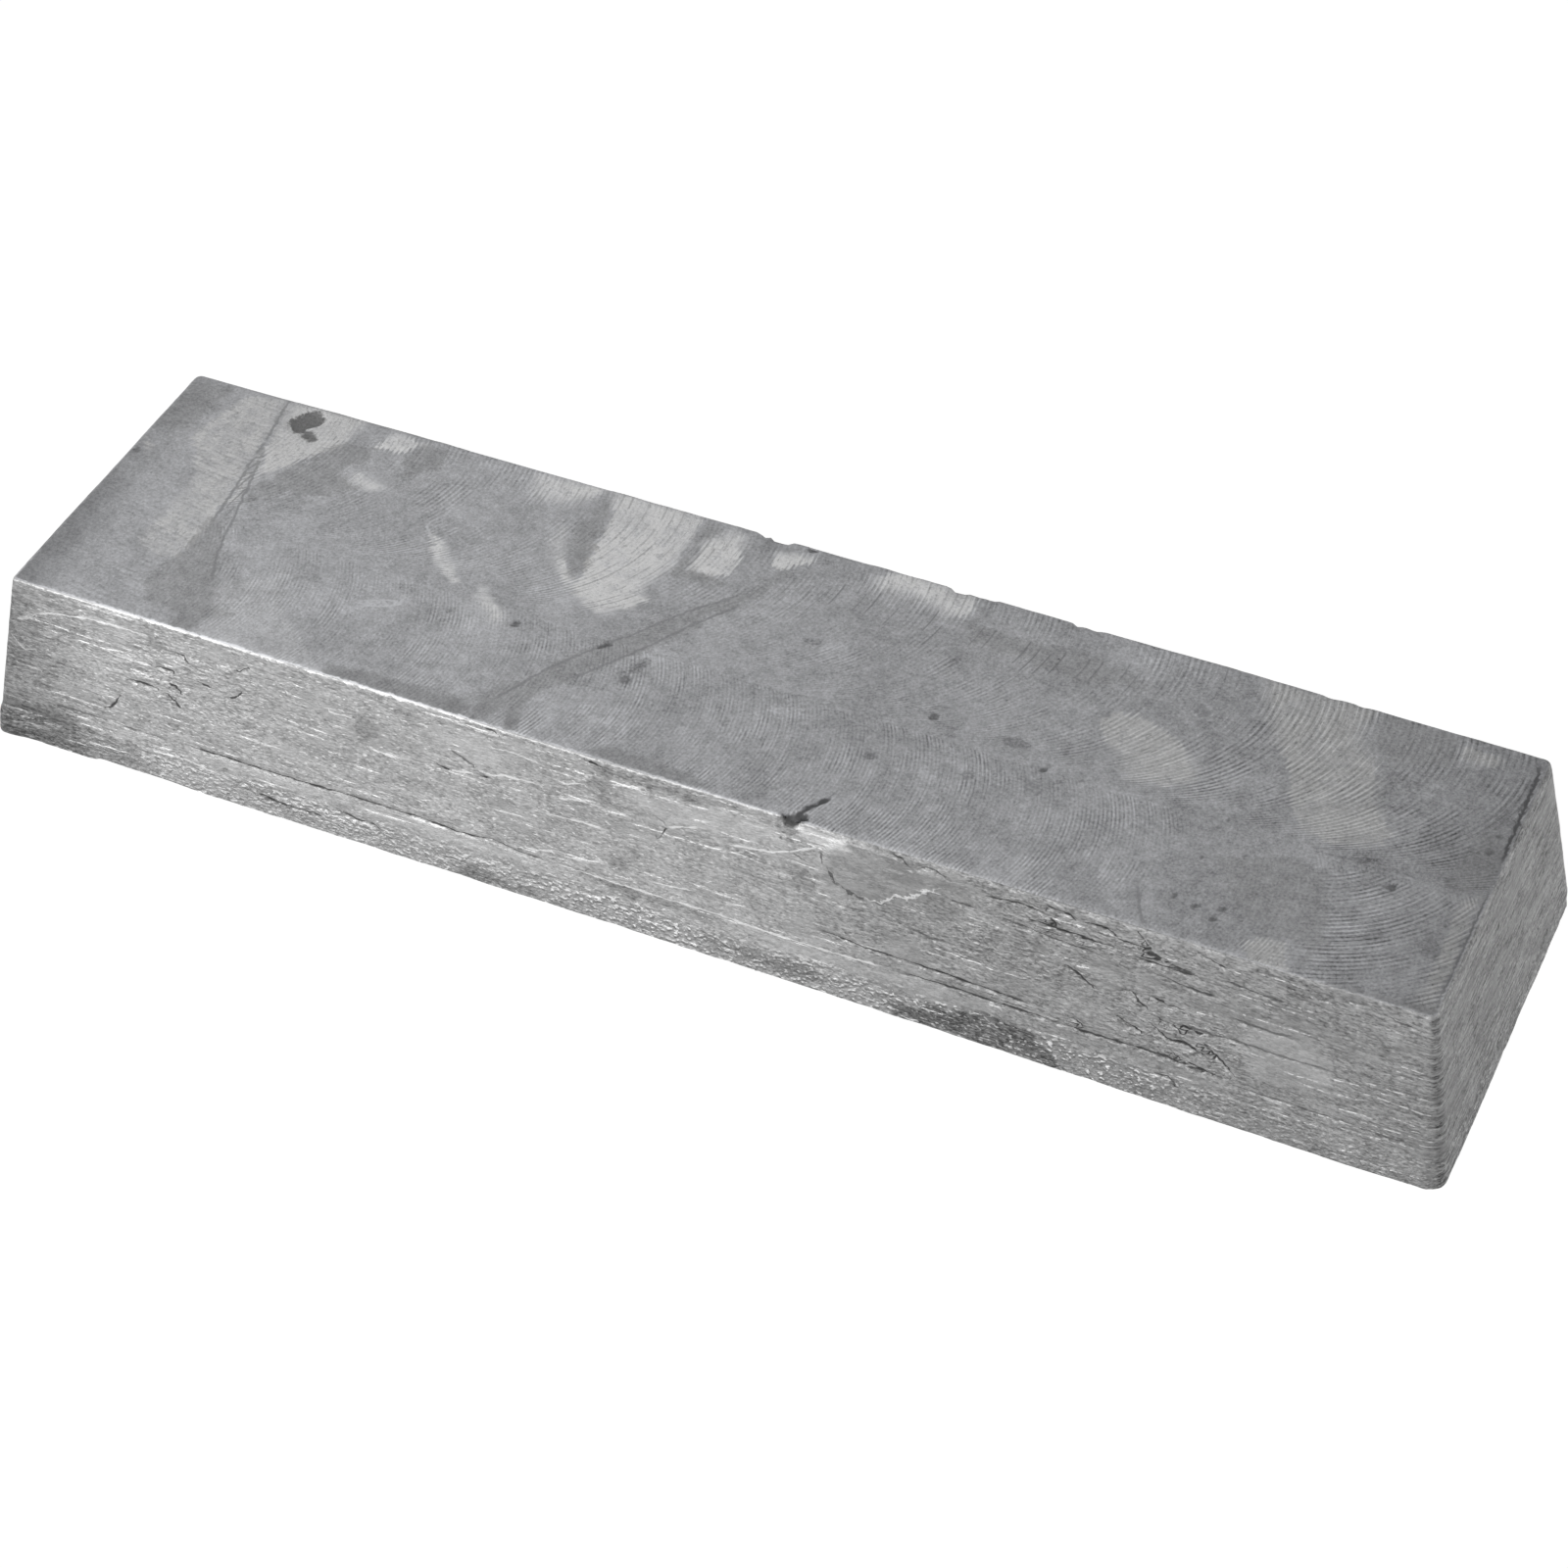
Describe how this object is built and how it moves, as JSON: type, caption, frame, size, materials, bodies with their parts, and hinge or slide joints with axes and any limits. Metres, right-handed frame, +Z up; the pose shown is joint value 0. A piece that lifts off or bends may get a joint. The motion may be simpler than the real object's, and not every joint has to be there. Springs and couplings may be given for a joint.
{
  "type": "metal ingot",
  "caption": "Cast bar of soft grey metal with leaning sides, a narrow tool-marked top face and a sunken pour side that it rests on; stock for melting down.",
  "frame": {"origin": "on the floor under the middle of the bar", "axes": "+X along the bar, +Y to its back, +Z up from the wide pour side to the narrow top face"},
  "size_m": [0.3004, 0.0812, 0.0384],
  "materials": {
    "cast_metal": "bare cast lead, read as the nearest plain grey metal: dull blue-grey film on top, brighter frosted sides with laps and ripples"
  },
  "bodies": {
    "root": {"ingot": "cast_metal"}
  },
  "joints": []
}
